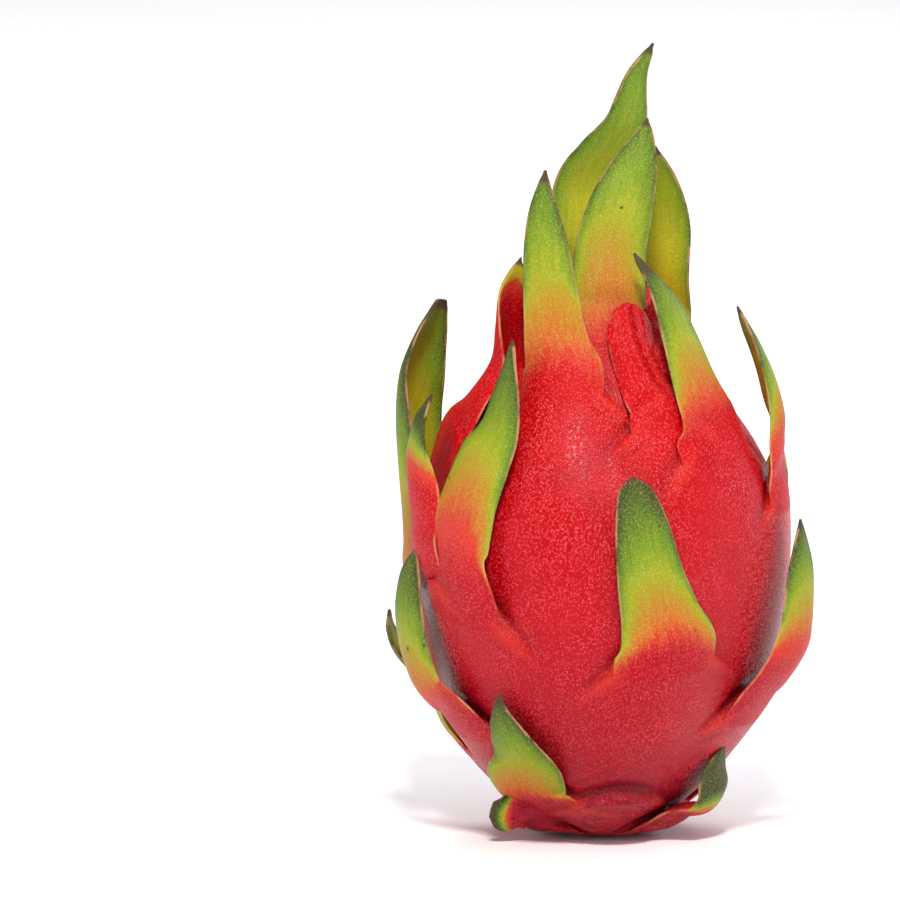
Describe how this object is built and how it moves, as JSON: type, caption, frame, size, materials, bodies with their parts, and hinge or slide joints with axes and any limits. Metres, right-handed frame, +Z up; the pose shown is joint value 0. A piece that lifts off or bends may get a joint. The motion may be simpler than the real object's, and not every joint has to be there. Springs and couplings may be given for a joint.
{
  "type": "dragon fruit",
  "caption": "Whole red dragon fruit standing upright, with leafy green-tipped scales grown out of its round rind.",
  "frame": {"origin": "middle of the small flat spot at the cut stem end, which the fruit stands on", "axes": "+Z up along the fruit's length, and the side seen in the picture faces -Y"},
  "size_m": [0.1074, 0.1037, 0.1999],
  "materials": {
    "rind": "satin"
  },
  "bodies": {
    "root": {"dragon_fruit": "rind"}
  },
  "joints": []
}
